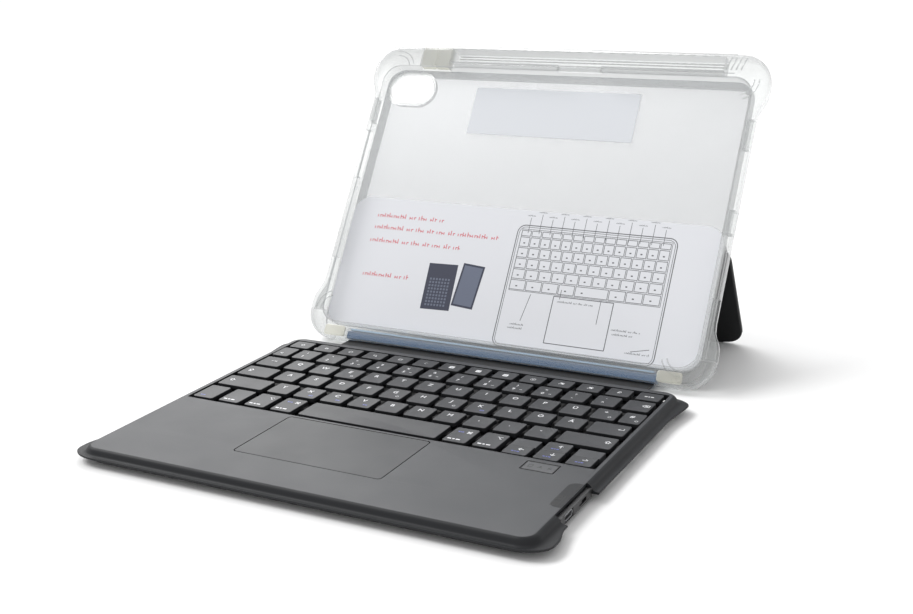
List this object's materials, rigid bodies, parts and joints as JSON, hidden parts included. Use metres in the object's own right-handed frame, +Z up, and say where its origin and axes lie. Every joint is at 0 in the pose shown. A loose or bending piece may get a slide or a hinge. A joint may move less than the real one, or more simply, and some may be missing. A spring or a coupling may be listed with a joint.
{
  "type": "tablet keyboard case",
  "caption": "Clear bumper case for a tablet, leaning on a full-width kickstand, with a thin dark grey keyboard and touchpad on a soft docking hinge.",
  "frame": {"origin": "centre of the footprint on the table, with the keyboard open in front and the case on its kickstand", "axes": "+X to the user's right, +Y away from the user, +Z up"},
  "size_m": [0.267, 0.3348, 0.1754],
  "materials": {
    "clear_bumper": "clear soft plastic, glossy, faint grey-green in thick places",
    "clear_panel": "clear hard plastic sheet, smooth",
    "card_paper": "matt printed card",
    "label_paper": "matt paper label",
    "button_soft": "clear soft plastic, slightly yellow",
    "steel": "bare steel strip and hinge parts",
    "dock_plastic": "dark blue-grey plastic",
    "magnet": "plated magnet strip",
    "kickstand_black": "fine matt black",
    "rubber_black": "matt black rubber",
    "deck_grey": "soft-touch dark grey with a fine grain",
    "tray_grey": "fine matt dark grey",
    "key_grey": "satin dark grey keycaps with pale legends",
    "touchpad_grey": "smooth satin grey",
    "inner_black": "plain black",
    "indicator_grey": "smooth tinted window with three small outline icons",
    "hinge_fabric": "soft-touch coated cloth",
    "battery": "foil-wrapped cell",
    "board": "green circuit board"
  },
  "bodies": {
    "case": {"bumper_frame": "clear_bumper", "back_panel": "clear_panel", "camera_ring": "clear_bumper", "info_card": "card_paper", "name_label": "label_paper", "dock_steel_strip": "steel", "kickstand_base": "kickstand_black", "hinge_leaf_left": "steel", "hinge_leaf_right": "steel", "hinge_pin_left": "steel", "hinge_pin_right": "steel"},
    "kickstand": {"kickstand_leg": "kickstand_black", "kickstand_foot_strip": "rubber_black"},
    "volume_up": {"volume_up_cover": "button_soft"},
    "volume_down": {"volume_down_cover": "button_soft"},
    "power_button": {"power_button_cover": "clear_bumper"},
    "dock": {"dock_bar": "dock_plastic", "bar_magnet_strip": "magnet", "flap_rear": "hinge_fabric"},
    "keyboard": {"deck_cover": "deck_grey", "bottom_cover": "tray_grey", "key_support_plate": "deck_grey", "dome_sheet": "rubber_black", "main_board": "board", "battery_left": "battery", "battery_right": "battery", "touchpad_frame": "inner_black", "indicator_window": "indicator_grey", "port_bezel": "inner_black", "usb_c_socket": "steel", "power_switch_housing": "inner_black", "foot_rear_left": "rubber_black", "foot_front_left": "rubber_black", "foot_rear_right": "rubber_black", "foot_front_right": "rubber_black", "flap_front": "hinge_fabric"},
    "touchpad": {"touchpad_plate": "touchpad_grey"},
    "power_switch": {"power_slider": "inner_black"},
    "function_row": {"function_row_keys": "key_grey"},
    "number_row": {"number_row_keys": "key_grey"},
    "backspace": {"backspace_key": "key_grey"},
    "tab": {"tab_key": "key_grey"},
    "top_letter": {"top_letter_keys": "key_grey"},
    "caps_lock": {"caps_lock_key": "key_grey"},
    "home_letter": {"home_letter_keys": "key_grey"},
    "enter": {"enter_key": "key_grey"},
    "left_shift": {"left_shift_key": "key_grey"},
    "bottom_letter": {"bottom_letter_keys": "key_grey"},
    "right_shift": {"right_shift_key": "key_grey"},
    "fn": {"fn_key": "key_grey"},
    "control": {"control_key": "key_grey"},
    "left_option": {"left_option_key": "key_grey"},
    "left_command": {"left_command_key": "key_grey"},
    "space": {"space_key": "key_grey"},
    "right_command": {"right_command_key": "key_grey"},
    "right_option": {"right_option_key": "key_grey"},
    "left_arrow": {"left_arrow_key": "key_grey"},
    "up_arrow": {"up_arrow_key": "key_grey"},
    "down_arrow": {"down_arrow_key": "key_grey"},
    "right_arrow": {"right_arrow_key": "key_grey"}
  },
  "joints": [
    {"name": "kickstand_hinge", "type": "hinge", "parent": "case", "child": "kickstand", "pos_m": [0, 0.10655, 0.07438], "axis": [1, 0, 0], "range_deg": [-63.2, 57]},
    {"name": "dock_slide", "type": "slide", "parent": "case", "child": "dock", "axis": [0, -0.5446, -0.8387], "range_m": [0, 0.03]},
    {"name": "keyboard_fold", "type": "hinge", "parent": "dock", "child": "keyboard", "pos_m": [0, 0.03516, 0.003], "axis": [-1, 0, 0], "range_deg": [-57, 123]},
    {"name": "volume_up_press", "type": "slide", "parent": "case", "child": "volume_up", "axis": [0, -0.5446, -0.8387], "range_m": [0, 0.0005], "stiffness_N_per_m": 3000},
    {"name": "volume_down_press", "type": "slide", "parent": "case", "child": "volume_down", "axis": [0, -0.5446, -0.8387], "range_m": [0, 0.0005], "stiffness_N_per_m": 3000},
    {"name": "power_button_press", "type": "slide", "parent": "case", "child": "power_button", "axis": [1, 0, 0], "range_m": [0, 0.0005], "stiffness_N_per_m": 3000},
    {"name": "touchpad_click", "type": "slide", "parent": "keyboard", "child": "touchpad", "axis": [0, 0, -1], "range_m": [0, 0.0004], "stiffness_N_per_m": 3000},
    {"name": "power_switch_slide", "type": "slide", "parent": "keyboard", "child": "power_switch", "axis": [0, 1, 0], "range_m": [0, 0.003]},
    {"name": "function_row_press", "type": "slide", "parent": "keyboard", "child": "function_row", "axis": [0, 0, -1], "range_m": [0, 0.0013], "stiffness_N_per_m": 3000},
    {"name": "number_row_press", "type": "slide", "parent": "keyboard", "child": "number_row", "axis": [0, 0, -1], "range_m": [0, 0.0013], "stiffness_N_per_m": 3000},
    {"name": "backspace_press", "type": "slide", "parent": "keyboard", "child": "backspace", "axis": [0, 0, -1], "range_m": [0, 0.0013], "stiffness_N_per_m": 500},
    {"name": "tab_press", "type": "slide", "parent": "keyboard", "child": "tab", "axis": [0, 0, -1], "range_m": [0, 0.0013], "stiffness_N_per_m": 500},
    {"name": "top_letter_press", "type": "slide", "parent": "keyboard", "child": "top_letter", "axis": [0, 0, -1], "range_m": [0, 0.0013], "stiffness_N_per_m": 3000},
    {"name": "caps_lock_press", "type": "slide", "parent": "keyboard", "child": "caps_lock", "axis": [0, 0, -1], "range_m": [0, 0.0013], "stiffness_N_per_m": 500},
    {"name": "home_letter_press", "type": "slide", "parent": "keyboard", "child": "home_letter", "axis": [0, 0, -1], "range_m": [0, 0.0013], "stiffness_N_per_m": 3000},
    {"name": "enter_press", "type": "slide", "parent": "keyboard", "child": "enter", "axis": [0, 0, -1], "range_m": [0, 0.0013], "stiffness_N_per_m": 500},
    {"name": "left_shift_press", "type": "slide", "parent": "keyboard", "child": "left_shift", "axis": [0, 0, -1], "range_m": [0, 0.0013], "stiffness_N_per_m": 500},
    {"name": "bottom_letter_press", "type": "slide", "parent": "keyboard", "child": "bottom_letter", "axis": [0, 0, -1], "range_m": [0, 0.0013], "stiffness_N_per_m": 3000},
    {"name": "right_shift_press", "type": "slide", "parent": "keyboard", "child": "right_shift", "axis": [0, 0, -1], "range_m": [0, 0.0013], "stiffness_N_per_m": 500},
    {"name": "fn_press", "type": "slide", "parent": "keyboard", "child": "fn", "axis": [0, 0, -1], "range_m": [0, 0.0013], "stiffness_N_per_m": 500},
    {"name": "control_press", "type": "slide", "parent": "keyboard", "child": "control", "axis": [0, 0, -1], "range_m": [0, 0.0013], "stiffness_N_per_m": 500},
    {"name": "left_option_press", "type": "slide", "parent": "keyboard", "child": "left_option", "axis": [0, 0, -1], "range_m": [0, 0.0013], "stiffness_N_per_m": 500},
    {"name": "left_command_press", "type": "slide", "parent": "keyboard", "child": "left_command", "axis": [0, 0, -1], "range_m": [0, 0.0013], "stiffness_N_per_m": 500},
    {"name": "space_press", "type": "slide", "parent": "keyboard", "child": "space", "axis": [0, 0, -1], "range_m": [0, 0.0013], "stiffness_N_per_m": 500},
    {"name": "right_command_press", "type": "slide", "parent": "keyboard", "child": "right_command", "axis": [0, 0, -1], "range_m": [0, 0.0013], "stiffness_N_per_m": 500},
    {"name": "right_option_press", "type": "slide", "parent": "keyboard", "child": "right_option", "axis": [0, 0, -1], "range_m": [0, 0.0013], "stiffness_N_per_m": 500},
    {"name": "left_arrow_press", "type": "slide", "parent": "keyboard", "child": "left_arrow", "axis": [0, 0, -1], "range_m": [0, 0.0013], "stiffness_N_per_m": 500},
    {"name": "up_arrow_press", "type": "slide", "parent": "keyboard", "child": "up_arrow", "axis": [0, 0, -1], "range_m": [0, 0.0013], "stiffness_N_per_m": 500},
    {"name": "down_arrow_press", "type": "slide", "parent": "keyboard", "child": "down_arrow", "axis": [0, 0, -1], "range_m": [0, 0.0013], "stiffness_N_per_m": 500},
    {"name": "right_arrow_press", "type": "slide", "parent": "keyboard", "child": "right_arrow", "axis": [0, 0, -1], "range_m": [0, 0.0013], "stiffness_N_per_m": 500}
  ]
}
